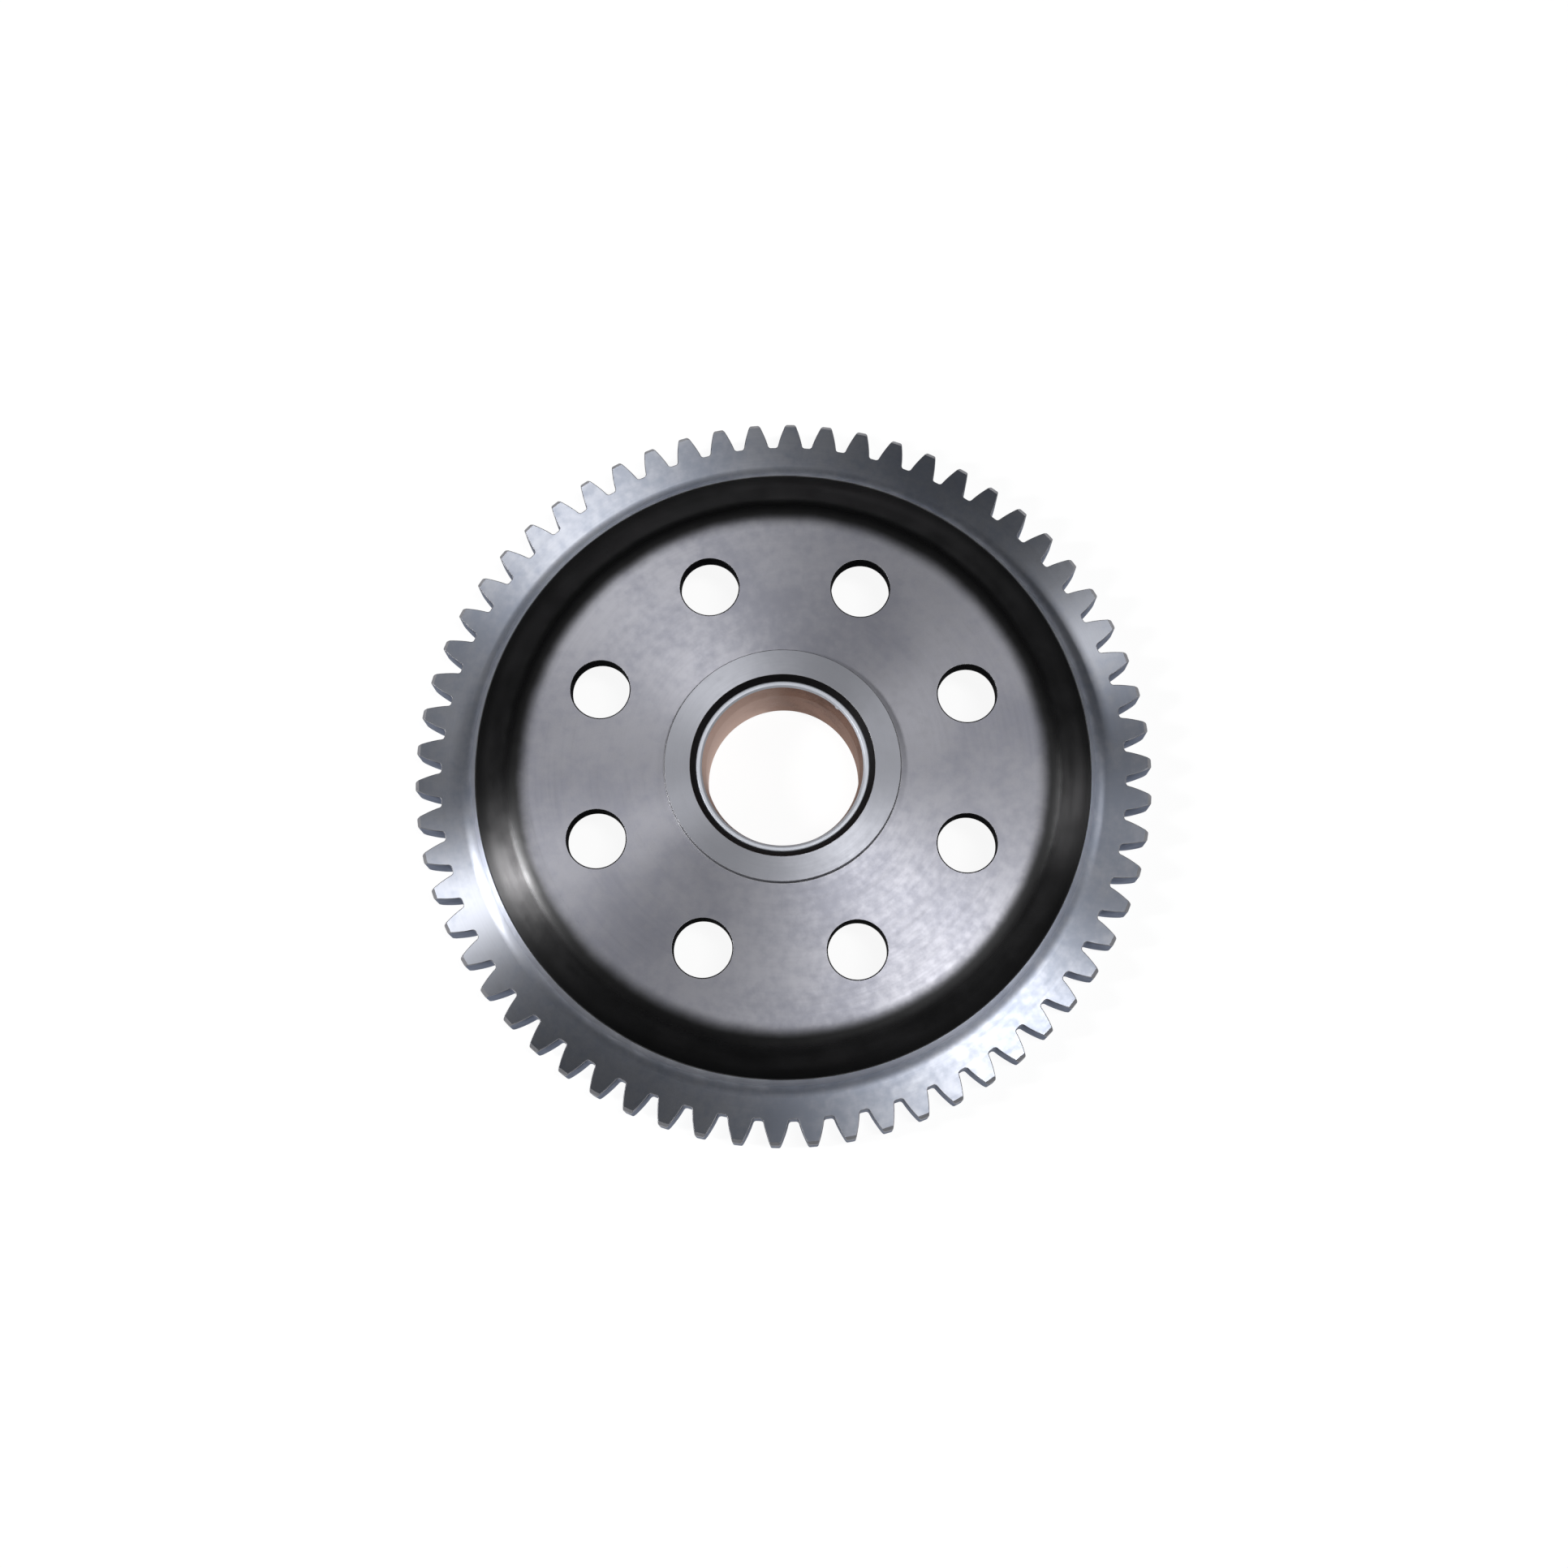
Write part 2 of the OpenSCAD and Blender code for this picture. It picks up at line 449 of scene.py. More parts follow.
@dataclass(frozen=True)
class BronzeLining(Finish):
    """Sintered bronze lining of the bush.

    Attributes:
        colour: Colour of the clean bronze.
        dark: Colour where oil has darkened it.
        paler: Colour of one side of the lining, a painted sheen in place of the lamps' gloss on it.
        sheen_way: Direction of the side with the painted sheen, as x and y.
        nick: Place in millimetres of a small bright nick at the mouth.
        nick_reach: Radius of the nick in millimetres.
        nick_colour: Colour of the bared steel in it.
        roughness: Lowest and highest roughness.
        metallic: Share of bare metal.
        pore_mm: Depth of the pores and the marks of the shaft.
    """

    name: str = "sintered_bronze"
    colour: tuple = (0.30, 0.165, 0.115)
    dark: tuple = (0.17, 0.085, 0.055)
    paler: tuple = (0.74, 0.54, 0.46)
    sheen_way: tuple = (-0.87, 0.5)
    nick: tuple = (9.02, 10.2, 16.0)
    nick_reach: float = 0.5
    nick_colour: tuple = (0.86, 0.88, 0.94)
    roughness: tuple = (0.6, 0.74)
    metallic: float = 0.6
    pore_mm: float = 0.012

    def look(self, graph: Graph, place: Socket) -> dict:
        """Shader inputs by name: oil, the painted sheen on one side, pores and the nick."""
        clouds = graph.noise(place, 0.22, 4.0, 0.6)
        pores = graph.noise(place, 5.0, 3.0, 0.6)
        marks = graph.noise(graph.around(place, 1.5, 3.0, 3.0), 1.0, 2.0)
        dark = graph.ramp(clouds * 0.6 + pores * 0.4, 0.4, 0.68)
        # Painted sheen: one side of the lining is mixed towards a pale colour, standing in for the
        # lamps' gloss on it
        x, y, _ = graph.parts(place)
        side = (x * self.sheen_way[0] + y * self.sheen_way[1]) / graph.radius(place)
        paler = graph.ramp(side + (clouds - 0.5) * 0.4, 0.35, 1.0)
        bronze = graph.mix(paler, graph.mix(dark, self.colour, self.dark), self.paler)
        nicked = graph.spot(place, self.nick, self.nick_reach)
        low, high = self.roughness
        return {
            "Base Color": graph.mix(nicked, bronze, self.nick_colour),
            "Metallic": self.metallic,
            "Roughness": graph.ramp(pores, 0.3, 0.7) * (high - low) + low,
            "Normal": graph.bump(pores * 0.6 + marks * 0.4, self.pore_mm),
        }


FINISHES = {
    Surface.RIM_FACE: TurnedSteel(
        "ground_rim_face", (0.54, 0.56, 0.62), (0.33, 0.365, 0.45), 0.8, (0.36, 0.42), 0.95,
        0.003, 3.2, 0.4,
    ),
    Surface.STEP: TurnedSteel(
        "turned_step", (0.72, 0.73, 0.77), (0.58, 0.59, 0.64), 0.6, (0.28, 0.38), 0.0,
        0.004, 2.5, 0.2, 0.92,
    ),
    Surface.WEB: DarkenedSteel(
        "satin_web", (0.51, 0.51, 0.56), (0.36, 0.365, 0.425), 0.9, (0.38, 0.45), 0.68,
        0.003, 1.8, 0.3, 0.82,
    ),
    Surface.THRUST: TurnedSteel(
        "ground_thrust_face", (0.50, 0.51, 0.56), (0.41, 0.42, 0.47), 0.6, (0.38, 0.45), 0.66,
        0.003, 3.0, 0.2, 0.8,
    ),
    # Painted shade: broken edges and chamfers coloured darker than the faces beside them, dark
    # lines in place of their glints
    Surface.EDGE: TurnedSteel(
        "broken_edges_painted_shade", (0.34, 0.34, 0.36), (0.22, 0.22, 0.235), 0.6, (0.4, 0.5), 0.0,
        0.002, 2.0, 0.0,
    ),
    # Painted shade: hole walls coloured nearly black, with dimmed glancing reflections, for the
    # shade inside the holes
    Surface.HOLE: TurnedSteel(
        "painted_shade_hole_walls", (0.035, 0.035, 0.037), (0.02, 0.02, 0.022), 0.8, (0.5, 0.62), 0.0,
        0.006, 1.2, 0.0, 1.0, (0.1, 0.1, 0.1),
    ),
    # Painted shade: flanks coloured dark, with dimmed glancing reflections, so they don't mirror
    # the bright floor; the clouds are the steel's own mottling
    Surface.FLANK: TurnedSteel(
        "hobbed_flanks_painted_shade", (0.21, 0.225, 0.26), (0.11, 0.12, 0.145), 0.8, (0.36, 0.48), 0.0,
        0.006, 0.9, 0.0, 1.0, (0.42, 0.45, 0.54),
    ),
    Surface.CAVITY: ForgedSkin(
        "forged_cavity", (0.060, 0.058, 0.058), (0.13, 0.128, 0.127), (0.42, 0.6), 0.75
    ),
    Surface.RACE: TurnedSteel(
        "ground_race", (0.70, 0.72, 0.78), (0.55, 0.57, 0.62), 0.5, (0.2, 0.3), 0.6,
        0.002, 4.0, 0.2,
    ),
    # Painted shade: the bore's seat and its mouth chamfer coloured nearly black, for the shade in
    # the mouth of the bore
    Surface.BORE_SEAT: TurnedSteel(
        "painted_shade_bore_seat", (0.045, 0.044, 0.046), (0.028, 0.027, 0.029), 0.8, (0.42, 0.52), 0.0,
        0.004, 2.0, 0.0,
    ),
    Surface.BUSH_STEEL: TurnedSteel(
        "bush_steel", (0.76, 0.79, 0.86), (0.66, 0.69, 0.76), 0.5, (0.46, 0.54), 0.3,
        0.004, 3.0, 0.2, 0.5,
    ),
    Surface.BUSH_BRONZE: BronzeLining(),
}


@dataclass(frozen=True)
class Corner:
    """Corner of a turned profile.

    Attributes:
        r: Radius in millimetres.
        z: Height in millimetres.
        rounding: Radius of its rounding, 0 for a sharp corner.
        after: Surface between this corner and the next.
        rounded_as: Surface of the rounding itself, or None for the next surface.
    """

    r: float
    z: float
    rounding: float
    after: Surface
    rounded_as: Union[Surface, None] = None

    @property
    def point(self) -> Vector:
        """The corner as a flat vector."""
        return Vector((self.r, self.z))


@dataclass(frozen=True)
class Span:
    """Smooth stretch of a profile: a line or a rounding.

    Attributes:
        points: Places along it, as radius and height in millimetres.
        normals: Outward direction at each place.
        surface: Surface that it belongs to.
    """

    points: tuple
    normals: tuple
    surface: Surface


class Shell:
    """Closed mesh built from loops of points, with exact normals kept for every face corner."""

    def __init__(self, surfaces: Iterable[Surface]) -> None:
        """Starts an empty mesh.

        Args:
            surfaces: Surfaces in the order of their material slots.
        """
        self.bm = bmesh.new()
        self.wanted = self.bm.loops.layers.float_vector.new("wanted_normal")
        self.slots = {surface: index for index, surface in enumerate(surfaces)}

    def loop(self, points: Iterable[Vector]) -> list:
        """Adds one vertex for each point, given in millimetres."""
        return [self.bm.verts.new(point * MM) for point in points]

    def face(self, corners: Sequence[tuple], surface: Surface) -> None:
        """Adds one face.

        Args:
            corners: Vertex and outward normal of each corner, in either turning direction.
            surface: Surface of the face.
        """
        points = [vertex.co for vertex, _ in corners]
        turned = Vector((0.0, 0.0, 0.0))
        for a, b in zip(points, points[1:] + points[:1]):
            turned += a.cross(b)
        outward = sum((normal for _, normal in corners), Vector((0.0, 0.0, 0.0)))
        if turned.dot(outward) < 0:
            corners = list(reversed(corners))
        face = self.bm.faces.new([vertex for vertex, _ in corners])
        face.material_index = self.slots[surface]
        face.smooth = True
        for loop, (_, normal) in zip(face.loops, corners):
            loop[self.wanted] = normal

    def strip(
        self,
        first: Sequence,
        second: Sequence,
        first_normals: Sequence[Vector],
        second_normals: Sequence[Vector],
        surface: Surface,
    ) -> None:
        """Joins two closed loops of the same length with a row of quads.

        Args:
            first: Vertices of the first loop.
            second: Vertices of the second loop.
            first_normals: Normal at each vertex of the first loop.
            second_normals: Normal at each vertex of the second loop.
            surface: Surface of the row.
        """
        near = list(zip(first, first_normals))
        far = list(zip(second, second_normals))
        for i in range(len(near)):
            j = (i + 1) % len(near)
            self.face((near[i], near[j], far[j], far[i]), surface)

    def sheet(self, loops: Sequence[Sequence], up: float, surface: Surface) -> None:
        """Fills a flat face between an outer loop and any inner ones.

        Args:
            loops: Vertices of each boundary.
            up: 1.0 if the face looks along +Z, -1.0 if along -Z.
            surface: Surface of the face.
        """
        edges = []
        for loop in loops:
            for a, b in zip(loop, loop[1:] + loop[:1]):
                edges.append(self.bm.edges.get((a, b)) or self.bm.edges.new((a, b)))
        normal = Vector((0.0, 0.0, up))
        filled = bmesh.ops.triangle_fill(
            self.bm, use_beauty=True, use_dissolve=False, edges=edges, normal=normal
        )
        for face in filled["geom"]:
            if not isinstance(face, bmesh.types.BMFace):
                continue
            face.normal_update()
            if face.normal.z * up < 0:
                face.normal_flip()
            face.material_index = self.slots[surface]
            face.smooth = True
            for loop in face.loops:
                loop[self.wanted] = normal

    def piece(self, name: str) -> bpy.types.Object:
        """Turns the mesh into an object with its materials and its exact normals.

        Args:
            name: Name of the piece.

        Returns:
            The new object, linked to the scene.
        """
        mesh = bpy.data.meshes.new(name)
        self.bm.to_mesh(mesh)
        self.bm.free()
        layer = mesh.attributes["wanted_normal"]
        normals = [tuple(item.vector.normalized()) for item in layer.data]
        mesh.attributes.remove(layer)
        mesh.normals_split_custom_set(normals)
        for surface in self.slots:
            mesh.materials.append(FINISHES[surface].material())
        piece = bpy.data.objects.new(name, mesh)
        bpy.context.scene.collection.objects.link(piece)
        return piece


def turned_spans(corners: Sequence[Corner], closed: bool, steps: int = 5) -> list:
    """Cuts a profile into its straight stretches and roundings.

    Args:
        corners: Corners in order, with the metal on the left of the way round.
        closed: Whether the profile returns to its first corner.
        steps: Rows in each rounding.

    Returns:
        The spans in order.
    """
    count = len(corners)
    entries, exits, arcs = [], [], []
    for i, corner in enumerate(corners):
        p = corner.point
        before = corners[i - 1].point
        behind = corners[(i + 1) % count].point
        open_end = not closed and i in (0, count - 1)
        if corner.rounding == 0 or open_end:
            entries.append(p)
            exits.append(p)
            arcs.append(None)
            continue
        u = (before - p).normalized()
        v = (behind - p).normalized()
        half = u.angle(v) / 2
        reach = corner.rounding / math.tan(half)
        centre = p + (u + v).normalized() * corner.rounding / math.sin(half)
        start, end = p + u * reach, p + v * reach
        entries.append(start)
        exits.append(end)
        arcs.append((centre, start - centre, end - centre))
    spans = []
    for i, corner in enumerate(corners):
        if arcs[i]:
            centre, a, b = arcs[i]
            turn = a.angle_signed(b)
            points, normals = [], []
            side = 1.0 if _right_of(exits[i] - entries[i]).dot(a + b) > 0 else -1.0
            for k in range(steps + 1):
                ray = a.copy()
                ray.rotate(Matrix.Rotation(-turn * k / steps, 2))
                points.append(centre + ray)
                normals.append(ray.normalized() * side)
            points[0], points[-1] = entries[i], exits[i]
            surface = corner.rounded_as or corner.after
            spans.append(Span(tuple(points), tuple(normals), surface))
        if not closed and i == count - 1:
            break
        a, b = exits[i], entries[(i + 1) % count]
        out = _right_of(b - a).normalized()
        spans.append(Span((a, b), (out, out), corner.after))
    return spans


def _right_of(way: Vector) -> Vector:
    """Direction to the right of a way in the profile's plane."""
    return Vector((way.y, -way.x))


def polar(r: float, angle: float) -> Vector:
    """Vector across the axis, with a length and an angle from +X."""
    return Vector((r * math.cos(angle), r * math.sin(angle), 0.0))


class Lathe:
    """Revolves profiles about one upright axis and shares the circles where they meet."""

    def __init__(self, shell: Shell, columns: int, centre: Sequence = (0.0, 0.0, 0.0)) -> None:
        """Keeps the mesh and the axis, and the directions of the columns.

        Args:
            shell: Mesh that the faces are added to.
            columns: Faces in one turn.
            centre: Place of the axis, in millimetres.
        """
        self.shell = shell
        self.centre = Vector(centre)
        angles = [2 * math.pi * i / columns for i in range(columns)]
        self.ways = [(math.cos(a), math.sin(a)) for a in angles]
        self.circles: dict = {}

    def _around(self, flat: Vector) -> list:
        """A place or direction of the profile's plane, turned to every column."""
        return [Vector((flat.x * c, flat.x * s, flat.y)) for c, s in self.ways]

    def circle(self, point: Vector) -> list:
        """Circle of vertices through a point of the profile, made once."""
        key = tuple(round(part, PLACE_DIGITS) for part in point)
        if key not in self.circles:
            places = (self.centre + place for place in self._around(point))
            self.circles[key] = self.shell.loop(places)
        return self.circles[key]

    def turn(self, spans: Sequence[Span]) -> tuple:
        """Revolves spans about the axis.

        Args:
            spans: Spans in order.

        Returns:
            The first and the last circle of vertices.
        """
        for span in spans:
            for i in range(len(span.points) - 1):
                first, second = (self.circle(point) for point in span.points[i : i + 2])
                if first is not second:
                    normals = (self._around(normal) for normal in span.normals[i : i + 2])
                    self.shell.strip(first, second, *normals, span.surface)
        return self.circle(spans[0].points[0]), self.circle(spans[-1].points[-1])


@dataclass
class ToothForm:
    """Involute teeth cut in the rim, with the sizes of the CAD model in millimetres."""

    count: int = 62
    module: float = 2.0
    pressure_angle: float = math.radians(20)
    addendum: float = 2.0
    dedendum: float = 2.5
    root_fillet: float = 0.55
    tip_chamfer: float = 0.6
    first_turn: float = math.radians(2.48)
    tip_rounding: float = 0.35
    tip_touch: float = 0.4
    edge_break: float = 0.13
    flank_steps: int = 9
    fillet_steps: int = 6
    corner_steps: int = 3
    tip_steps: int = 4
    edge_steps: int = 2
    search_steps: int = 40
    probe_mm: float = 0.02
    probes: int = 12

    @property
    def tip_r(self) -> float:
        """Radius of the tips."""
        return self.count * self.module / 2 + self.addendum

    @property
    def chamfer_r(self) -> float:
        """Radius where the chamfers of the tips start."""
        return self.tip_r - self.tip_chamfer

    @property
    def root_r(self) -> float:
        """Radius of the roots."""
        return self.count * self.module / 2 - self.dedendum

    @property
    def base_r(self) -> float:
        """Radius of the base circle of the involutes."""
        return self.count * self.module / 2 * math.cos(self.pressure_angle)

    def _base_half(self) -> float:
        """Half the angle of a tooth at the base circle."""
        a = self.pressure_angle
        return math.pi / self.count / 2 + math.tan(a) - a

    def _flank(self, r: float) -> tuple:
        """Angle and outward normal of the flank at a radius, on a tooth centred on +X."""
        a = math.acos(self.base_r / r)
        angle = self._base_half() - (math.tan(a) - a)
        return angle, polar(1.0, angle - a + math.pi / 2)

    def half_outline(self) -> list:
        """One side of a tooth centred on +X, from the root's middle to the tip.

        Returns:
            Pairs of point and outward normal, as vectors in millimetres.
        """
        pitch = math.pi / self.count
        rho = self.root_fillet
        c_r = self.root_r + rho
        a = math.acos(self.base_r / c_r)
        c_angle = self._base_half() + rho / self.base_r - (math.tan(a) - a)
        centre = polar(c_r, c_angle)
        string = math.sqrt(c_r**2 - self.base_r**2) - rho
        flank_r = math.hypot(self.base_r, string)
        _, touch_normal = self._flank(flank_r)
        bottom = polar(-1.0, c_angle)
        pairs = [self._radial(self.root_r, angle) for angle in (pitch, (pitch + c_angle) / 2)]
        for ray in self._rays(bottom, -touch_normal, self.fillet_steps):
            pairs.append((centre + ray * rho, -ray))
        for k in range(1, self.flank_steps + 1):
            r = flank_r + (self.chamfer_r - flank_r) * k / self.flank_steps
            angle, normal = self._flank(r)
            pairs.append((polar(r, angle), normal))
        pairs += self._tip()
        return pairs

    def _radial(self, r: float, angle: float) -> tuple:
        """Point at a radius and angle, with its radial normal."""
        out = polar(1.0, angle)
        return out * r, out

    def _rays(self, start: Vector, end: Vector, steps: int) -> list:
        """Directions that turn from one to another in equal steps."""
        turn = start.xy.angle_signed(end.xy)
        rays = [start.copy() for _ in range(steps + 1)]
        for k, ray in enumerate(rays):
            ray.rotate(Matrix.Rotation(-turn * k / steps, 3, "Z"))
        return rays

    def _tip(self) -> list:
        """The rounded corner between flank and tip, and the tip to the tooth's middle."""
        rho = self.tip_rounding
        r = self.tip_r - rho
        low, high = 0.0, self._flank(r)[0]
        for _ in range(self.search_steps):
            mid = (low + high) / 2
            if self._clear_of_flank(polar(r, mid)) > rho:
                low = mid
            else:
                high = mid
        centre = polar(r, low)
        _, start = self._flank(r + rho * self.tip_touch)
        rays = self._rays(start, centre.normalized(), self.corner_steps)
        pairs = [(centre + ray * rho, ray) for ray in rays]
        for k in range(1, self.tip_steps // 2 + 1):
            pairs.append(self._radial(self.tip_r, low * (1 - 2 * k / self.tip_steps)))
        return pairs

    def _clear_of_flank(self, point: Vector) -> float:
        """Distance from a point inside the tooth to the flank."""
        r = point.length
        best = math.inf
        for k in range(-self.probes, self.probes + 1):
            near = r + k * self.probe_mm
            on = polar(near, self._flank(near)[0])
            best = min(best, (on - point).length)
        return best

    def tooth(self) -> list:
        """Points and normals of a whole tooth centred on +X, from root to root."""
        half = self.half_outline()
        other = [(Vector((p.x, -p.y, 0.0)), Vector((n.x, -n.y, 0.0))) for p, n in half]
        return other + list(reversed(half[:-1]))[:-1]


@dataclass
class Gear:
    """The gear: a turned forging with drilled web and hobbed teeth, in millimetres."""

    teeth: ToothForm = field(default_factory=ToothForm)
    face_w: float = 7.0
    rim_z: float = 8.9
    step_foot_r: float = 54.6
    foot_rounding: float = 2.2
    step_top_r: float = 53.1
    step_z: float = 12.4
    step_rounding: float = 0.6
    web_corner_r: float = 46.0
    web_z: float = 16.3
    web_back_z: float = 12.6
    shoulder: float = 9.0
    cavity_corner_r: float = 45.05
    cavity_r: float = 50.0
    cavity_z: float = 9.88
    cavity_rounding: float = 4.0
    wall_rounding: float = 0.9
    rim_chamfer: float = 0.6
    rim_roundings: tuple = (0.15, 0.12)
    thrust_r: float = 20.2
    thrust_z: float = 17.4
    thrust_roundings: tuple = (0.2, 0.12)
    race_r: float = 22.5
    race_chamfer: float = 1.0
    race_roundings: tuple = (0.15, 0.25)
    race_fillet: float = 1.5
    bore_r: float = 14.85
    mouth_chamfer: float = 1.0
    tail_chamfer: float = 0.5
    bore_rounding: float = 0.1
    hole_count: int = 8
    hole_r: float = 5.0
    hole_circle_r: float = 34.1
    hole_chamfer: float = 0.2
    hole_roundings: tuple = (0.08, 0.08, 0.08, 0.1)
    hole_margin: float = 3.0
    columns: int = 496
    hole_columns: int = 72

    def build(self) -> bpy.types.Object:
        """Builds the piece.

        Returns:
            The gear as one object.
        """
        used = [s for s in Surface if s not in (Surface.BUSH_STEEL, Surface.BUSH_BRONZE)]
        self.shell = Shell(used)
        lathe = Lathe(self.shell, self.columns)
        back = lathe.turn(self._back_of_hub())
        pocket = lathe.turn(self._cavity())
        step = lathe.turn(self._step_and_cone())
        front = lathe.turn(self._front_of_hub())
        fronts, backs = zip(*(self._hole(number) for number in range(self.hole_count)))
        self.shell.sheet([pocket[0], back[1], *backs], -1.0, Surface.CAVITY)
        self.shell.sheet([step[1], front[0], *fronts], 1.0, Surface.WEB)
        rim_back, rim_front = self._teeth()
        self.shell.sheet([rim_back, pocket[1]], -1.0, Surface.RIM_FACE)
        self.shell.sheet([rim_front, step[0]], 1.0, Surface.RIM_FACE)
        return self.shell.piece("gear_finished")

    def _back_of_hub(self) -> list:
        """Bore seat, race end, race and its fillet, up to the back of the web."""
        inner, outer = self.race_roundings
        top_z = self.web_back_z
        corners = (
            Corner(self.bore_r, self.thrust_z - self.mouth_chamfer, 0.0, Surface.BORE_SEAT),
            Corner(self.bore_r, self.tail_chamfer, 0.0, Surface.EDGE),
            Corner(self.bore_r + self.tail_chamfer, 0.0, self.bore_rounding, Surface.RACE),
            Corner(self.race_r - self.race_chamfer, 0.0, inner, Surface.RACE),
            Corner(self.race_r, self.race_chamfer, outer, Surface.RACE),
            Corner(self.race_r, top_z, self.race_fillet, Surface.CAVITY, Surface.RACE),
            Corner(self.race_r + self.race_fillet, top_z, 0.0, Surface.CAVITY),
        )
        return turned_spans(corners, False)[:-1]

    def _cavity(self) -> list:
        """Cone and wall of the cavity, down to the back of the rim."""
        rim_back = self.rim_z - self.face_w
        chamfer_r = self.cavity_r + self.rim_chamfer
        inner, outer = self.rim_roundings
        top_z = self.web_back_z
        corners = (
            Corner(self.race_r + self.race_fillet, top_z, 0.0, Surface.CAVITY),
            Corner(self.cavity_corner_r, top_z, self.cavity_rounding, Surface.CAVITY),
            Corner(self.cavity_r, self.cavity_z, self.wall_rounding, Surface.CAVITY),
            Corner(self.cavity_r, rim_back + self.rim_chamfer, inner, Surface.EDGE),
            Corner(chamfer_r, rim_back, outer, Surface.RIM_FACE, Surface.EDGE),
            Corner(self.step_foot_r, rim_back, 0.0, Surface.RIM_FACE),
        )
        return turned_spans(corners, False, steps=6)[1:-1]

    def _step_and_cone(self) -> list:
        """Step and cone, from the rim's face to the front of the web."""
        foot_r, foot = self.step_foot_r, self.foot_rounding
        corners = (
            Corner(self.teeth.root_r, self.rim_z, 0.0, Surface.RIM_FACE),
            Corner(foot_r, self.rim_z, foot, Surface.STEP, Surface.RIM_FACE),
            Corner(self.step_top_r, self.step_z, self.step_rounding, Surface.WEB),
            Corner(self.web_corner_r, self.web_z, self.shoulder, Surface.WEB),
            Corner(self.thrust_r, self.web_z, 0.0, Surface.WEB),
        )
        return turned_spans(corners, False, steps=10)[1:-1]

    def _front_of_hub(self) -> list:
        """Rise to the thrust face, the face and the mouth of the bore."""
        foot, edge = self.thrust_roundings
        top_z, mouth_r = self.thrust_z, self.bore_r + self.mouth_chamfer
        corners = (
            Corner(self.web_corner_r, self.web_z, 0.0, Surface.WEB),
            Corner(self.thrust_r, self.web_z, foot, Surface.EDGE),
            Corner(self.thrust_r, top_z, edge, Surface.THRUST, Surface.EDGE),
            Corner(mouth_r, top_z, self.bore_rounding, Surface.BORE_SEAT, Surface.EDGE),
            Corner(self.bore_r, top_z - self.mouth_chamfer, 0.0, Surface.BORE_SEAT),
        )
        return turned_spans(corners, False, steps=4)[1:]

    def _hole(self, number: int) -> tuple:
        """Wall and chamfers of one web hole.

        Args:
            number: Which hole, counted from the first one after +X.

        Returns:
            The boundary loops on the web's front and on its back.
        """
        spoke = 2 * math.pi * (number + 0.5) / self.hole_count
        lathe = Lathe(self.shell, self.hole_columns, polar(1.0, spoke) * self.hole_circle_r)
        r, chamfer, around = self.hole_r, self.hole_chamfer, self.hole_roundings
        front_z, back_z = self.web_z, self.web_back_z
        corners = (
            Corner(r + self.hole_margin, front_z, 0.0, Surface.WEB),
            Corner(r + chamfer, front_z, around[0], Surface.HOLE, Surface.EDGE),
            Corner(r, front_z - chamfer, around[1], Surface.HOLE),
            Corner(r, back_z + chamfer, around[2], Surface.HOLE),
            Corner(r + chamfer, back_z, around[3], Surface.CAVITY, Surface.EDGE),
            Corner(r + self.hole_margin, back_z, 0.0, Surface.CAVITY),
        )
        return lathe.turn(turned_spans(corners, False, steps=3)[1:-1])

    def _teeth(self) -> tuple:
        """Flanks, tips and broken edges of all the teeth.

        Returns:
            The boundary loops of the rim's back face and of its front face.
        """
        form = self.teeth
        tooth = form.tooth()
        outline = []
        for number in range(form.count):
            turn = Matrix.Rotation(form.first_turn + 2 * math.pi * number / form.count, 3, "Z")
            outline += [(turn @ point, turn @ normal) for point, normal in tooth]
        normals = [normal for _, normal in outline]
        front = self._broken_edge(outline, 1.0)
        back = self._broken_edge(outline, -1.0)
        self.shell.strip(front[1], back[1], normals, normals, Surface.FLANK)
        return self._tips(back[0], -1.0), self._tips(front[0], 1.0)

    def _broken_edge(self, outline: Sequence[tuple], side: float) -> tuple:
        """Rows from a flat face of the rim over its broken edge to the flanks.

        Args:
            outline: Points and normals of the whole toothed outline.
            side: 1.0 on the front, -1.0 on the back.

        Returns:
            The first and the last loop of vertices.
        """
        form = self.teeth
        face_z = self.rim_z if side > 0 else self.rim_z - self.face_w
        rows, row_normals = [], []
        for k in range(form.edge_steps + 1):
            tilt = math.pi / 2 * k / form.edge_steps
            inset = form.edge_break * (1 - math.sin(tilt))
            drop = form.edge_break * (1 - math.cos(tilt))
            points, ups = [], []
            for point, normal in outline:
                moved = point - normal * inset
                fall = max(0.0, moved.length - form.chamfer_r)
                points.append(Vector((moved.x, moved.y, face_z - side * (drop + fall))))
                up = Vector((0.0, 0.0, side))
                if fall > CHAMFERED:
                    up = (moved.normalized() + up).normalized()
                ups.append((up * math.cos(tilt) + normal * math.sin(tilt)).normalized())
            rows.append(self.shell.loop(points))
            row_normals.append(ups)
        for k in range(form.edge_steps):
            self.shell.strip(*rows[k : k + 2], *row_normals[k : k + 2], Surface.EDGE)
        return rows[0], rows[-1]

